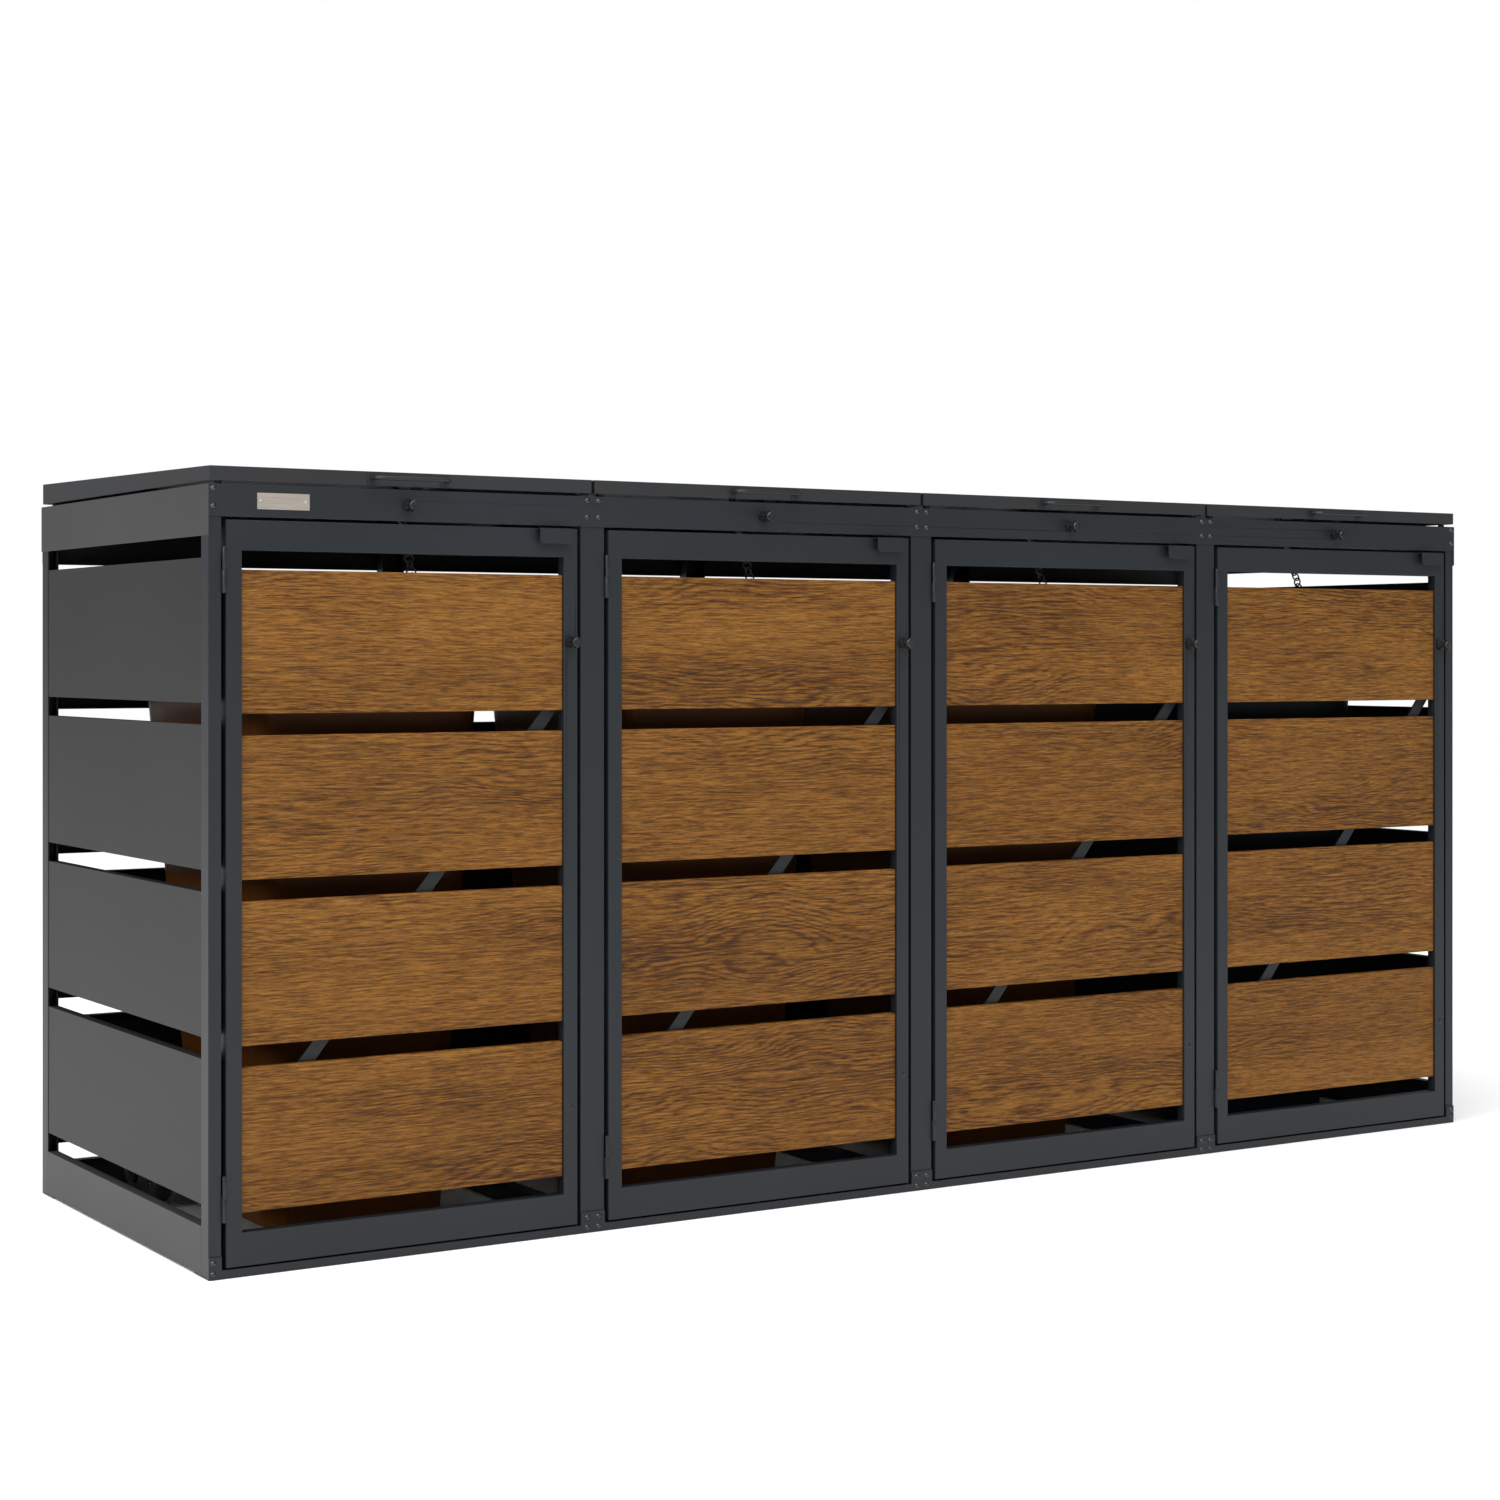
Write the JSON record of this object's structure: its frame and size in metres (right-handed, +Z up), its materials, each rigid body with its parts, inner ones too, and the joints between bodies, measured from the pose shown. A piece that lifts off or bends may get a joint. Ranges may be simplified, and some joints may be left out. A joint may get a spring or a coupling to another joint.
{
  "type": "wheelie bin store",
  "caption": "Slatted steel store for wheelie bins: side-by-side bays, each with a board-faced hinged door, a hinged lid, turn latches and a wheeled bin whose lid is lifted by a chain.",
  "frame": {"origin": "on the floor, in the middle of the footprint, bow handles and lid hinges included", "axes": "+X to the right along the row of bays for someone facing the doors, +Y from the doors to the back wall, +Z up"},
  "size_m": [2.64, 0.841, 1.24],
  "materials": {
    "frame_steel": "anthracite powder coat, fine texture, satin",
    "wall_steel": "anthracite powder coat, fine texture, satin",
    "lid_steel": "anthracite powder coat, fine texture, satin",
    "hinge_steel": "dark powder coat, satin",
    "fastener_steel": "black coated steel, glossy",
    "board_wood": "golden oak decor with horizontal grain, satin",
    "latch_black": "black, glossy",
    "plate_steel": "brushed stainless steel, blank",
    "chain_zinc": "zinc plated",
    "bin_brown": "brown moulded plastic, semi-gloss",
    "bin_grey": "dark grey moulded plastic, semi-gloss",
    "wheel_rubber": "black rubber and plastic, matt"
  },
  "bodies": {
    "store": {"corner_posts": "frame_steel", "middle_posts": "frame_steel", "front_rails": "frame_steel", "bands": "wall_steel", "wall_boards": "wall_steel", "nameplate": "plate_steel", "bolts": "fastener_steel", "fixed_hinges": "hinge_steel", "bin_1": "bin_brown", "bin_2": "bin_brown", "bin_3": "bin_brown", "bin_4": "bin_grey"},
    "door_1": {"door_frame_1": "frame_steel", "door_boards_1": "board_wood", "door_brace_1": "frame_steel", "door_pull_1": "frame_steel", "door_leaves_1": "hinge_steel"},
    "door_key_1": {"door_latch_1": "latch_black"},
    "lid_cover_1": {"lid_1": "lid_steel", "lid_bow_1": "hinge_steel"},
    "lid_key_1": {"lid_latch_1": "latch_black"},
    "chain_1": {"lid_chain_1": "chain_zinc"},
    "bin_cover_1": {"bin_lid_1": "bin_brown"},
    "wheels_1": {"wheel_set_1": "wheel_rubber"},
    "door_2": {"door_frame_2": "frame_steel", "door_boards_2": "board_wood", "door_brace_2": "frame_steel", "door_pull_2": "frame_steel", "door_leaves_2": "hinge_steel"},
    "door_key_2": {"door_latch_2": "latch_black"},
    "lid_cover_2": {"lid_2": "lid_steel", "lid_bow_2": "hinge_steel"},
    "lid_key_2": {"lid_latch_2": "latch_black"},
    "chain_2": {"lid_chain_2": "chain_zinc"},
    "bin_cover_2": {"bin_lid_2": "bin_brown"},
    "wheels_2": {"wheel_set_2": "wheel_rubber"},
    "door_3": {"door_frame_3": "frame_steel", "door_boards_3": "board_wood", "door_brace_3": "frame_steel", "door_pull_3": "frame_steel", "door_leaves_3": "hinge_steel"},
    "door_key_3": {"door_latch_3": "latch_black"},
    "lid_cover_3": {"lid_3": "lid_steel", "lid_bow_3": "hinge_steel"},
    "lid_key_3": {"lid_latch_3": "latch_black"},
    "chain_3": {"lid_chain_3": "chain_zinc"},
    "bin_cover_3": {"bin_lid_3": "bin_brown"},
    "wheels_3": {"wheel_set_3": "wheel_rubber"},
    "door_4": {"door_frame_4": "frame_steel", "door_boards_4": "board_wood", "door_brace_4": "frame_steel", "door_pull_4": "frame_steel", "door_leaves_4": "hinge_steel"},
    "door_key_4": {"door_latch_4": "latch_black"},
    "lid_cover_4": {"lid_4": "lid_steel", "lid_bow_4": "hinge_steel"},
    "lid_key_4": {"lid_latch_4": "latch_black"},
    "chain_4": {"lid_chain_4": "chain_zinc"},
    "bin_cover_4": {"bin_lid_4": "bin_grey"},
    "wheels_4": {"wheel_set_4": "wheel_rubber"}
  },
  "joints": [
    {"name": "door_1_swing", "type": "hinge", "parent": "store", "child": "door_1", "pos_m": [-1.2945, -0.3935, 0.581], "axis": [0, 0, -1], "range_deg": [0, 105]},
    {"name": "door_1_key_turn", "type": "hinge", "parent": "door_1", "child": "door_key_1", "pos_m": [-0.7015, -0.3925, 0.962], "axis": [0, 1, 0], "range_deg": [0, 90]},
    {"name": "lid_1_open", "type": "hinge", "parent": "store", "child": "lid_cover_1", "pos_m": [-0.99, 0.4145, 1.203], "axis": [-1, 0, 0], "range_deg": [0, 75]},
    {"name": "lid_1_key_turn", "type": "hinge", "parent": "store", "child": "lid_key_1", "pos_m": [-0.99, -0.3925, 1.1755], "axis": [0, 1, 0], "range_deg": [0, 90]},
    {"name": "chain_1_hang", "type": "hinge", "parent": "lid_cover_1", "child": "chain_1", "pos_m": [-0.89, -0.1295, 1.218], "axis": [-1, 0, 0], "range_deg": [-75, 75]},
    {"name": "bin_1_lid_open", "type": "hinge", "parent": "store", "child": "bin_cover_1", "pos_m": [-0.99, 0.3055, 0.948], "axis": [-1, 0, 0], "range_deg": [0, 75]},
    {"name": "wheels_1_roll", "type": "hinge", "parent": "store", "child": "wheels_1", "pos_m": [-0.99, 0.2175, 0.1], "axis": [1, 0, 0], "continuous": true},
    {"name": "door_2_swing", "type": "hinge", "parent": "store", "child": "door_2", "pos_m": [-0.6345, -0.3935, 0.581], "axis": [0, 0, -1], "range_deg": [0, 105]},
    {"name": "door_2_key_turn", "type": "hinge", "parent": "door_2", "child": "door_key_2", "pos_m": [-0.0415, -0.3925, 0.962], "axis": [0, 1, 0], "range_deg": [0, 90]},
    {"name": "lid_2_open", "type": "hinge", "parent": "store", "child": "lid_cover_2", "pos_m": [-0.33, 0.4145, 1.203], "axis": [-1, 0, 0], "range_deg": [0, 75]},
    {"name": "lid_2_key_turn", "type": "hinge", "parent": "store", "child": "lid_key_2", "pos_m": [-0.33, -0.3925, 1.1755], "axis": [0, 1, 0], "range_deg": [0, 90]},
    {"name": "chain_2_hang", "type": "hinge", "parent": "lid_cover_2", "child": "chain_2", "pos_m": [-0.23, -0.1295, 1.218], "axis": [-1, 0, 0], "range_deg": [-75, 75]},
    {"name": "bin_2_lid_open", "type": "hinge", "parent": "store", "child": "bin_cover_2", "pos_m": [-0.33, 0.3055, 0.948], "axis": [-1, 0, 0], "range_deg": [0, 75]},
    {"name": "wheels_2_roll", "type": "hinge", "parent": "store", "child": "wheels_2", "pos_m": [-0.33, 0.2175, 0.1], "axis": [1, 0, 0], "continuous": true},
    {"name": "door_3_swing", "type": "hinge", "parent": "store", "child": "door_3", "pos_m": [0.0255, -0.3935, 0.581], "axis": [0, 0, -1], "range_deg": [0, 105]},
    {"name": "door_3_key_turn", "type": "hinge", "parent": "door_3", "child": "door_key_3", "pos_m": [0.6185, -0.3925, 0.962], "axis": [0, 1, 0], "range_deg": [0, 90]},
    {"name": "lid_3_open", "type": "hinge", "parent": "store", "child": "lid_cover_3", "pos_m": [0.33, 0.4145, 1.203], "axis": [-1, 0, 0], "range_deg": [0, 75]},
    {"name": "lid_3_key_turn", "type": "hinge", "parent": "store", "child": "lid_key_3", "pos_m": [0.33, -0.3925, 1.1755], "axis": [0, 1, 0], "range_deg": [0, 90]},
    {"name": "chain_3_hang", "type": "hinge", "parent": "lid_cover_3", "child": "chain_3", "pos_m": [0.43, -0.1295, 1.218], "axis": [-1, 0, 0], "range_deg": [-75, 75]},
    {"name": "bin_3_lid_open", "type": "hinge", "parent": "store", "child": "bin_cover_3", "pos_m": [0.33, 0.3055, 0.948], "axis": [-1, 0, 0], "range_deg": [0, 75]},
    {"name": "wheels_3_roll", "type": "hinge", "parent": "store", "child": "wheels_3", "pos_m": [0.33, 0.2175, 0.1], "axis": [1, 0, 0], "continuous": true},
    {"name": "door_4_swing", "type": "hinge", "parent": "store", "child": "door_4", "pos_m": [0.6855, -0.3935, 0.581], "axis": [0, 0, -1], "range_deg": [0, 105]},
    {"name": "door_4_key_turn", "type": "hinge", "parent": "door_4", "child": "door_key_4", "pos_m": [1.2785, -0.3925, 0.962], "axis": [0, 1, 0], "range_deg": [0, 90]},
    {"name": "lid_4_open", "type": "hinge", "parent": "store", "child": "lid_cover_4", "pos_m": [0.99, 0.4145, 1.203], "axis": [-1, 0, 0], "range_deg": [0, 75]},
    {"name": "lid_4_key_turn", "type": "hinge", "parent": "store", "child": "lid_key_4", "pos_m": [0.99, -0.3925, 1.1755], "axis": [0, 1, 0], "range_deg": [0, 90]},
    {"name": "chain_4_hang", "type": "hinge", "parent": "lid_cover_4", "child": "chain_4", "pos_m": [1.09, -0.1295, 1.218], "axis": [-1, 0, 0], "range_deg": [-75, 75]},
    {"name": "bin_4_lid_open", "type": "hinge", "parent": "store", "child": "bin_cover_4", "pos_m": [0.99, 0.3055, 0.948], "axis": [-1, 0, 0], "range_deg": [0, 75]},
    {"name": "wheels_4_roll", "type": "hinge", "parent": "store", "child": "wheels_4", "pos_m": [0.99, 0.2175, 0.1], "axis": [1, 0, 0], "continuous": true}
  ],
  "couplings": [
    {"joint": "chain_1_hang", "follows": "lid_1_open", "ratio": -1},
    {"joint": "bin_1_lid_open", "follows": "lid_1_open", "ratio": 1},
    {"joint": "chain_2_hang", "follows": "lid_2_open", "ratio": -1},
    {"joint": "bin_2_lid_open", "follows": "lid_2_open", "ratio": 1},
    {"joint": "chain_3_hang", "follows": "lid_3_open", "ratio": -1},
    {"joint": "bin_3_lid_open", "follows": "lid_3_open", "ratio": 1},
    {"joint": "chain_4_hang", "follows": "lid_4_open", "ratio": -1},
    {"joint": "bin_4_lid_open", "follows": "lid_4_open", "ratio": 1}
  ]
}
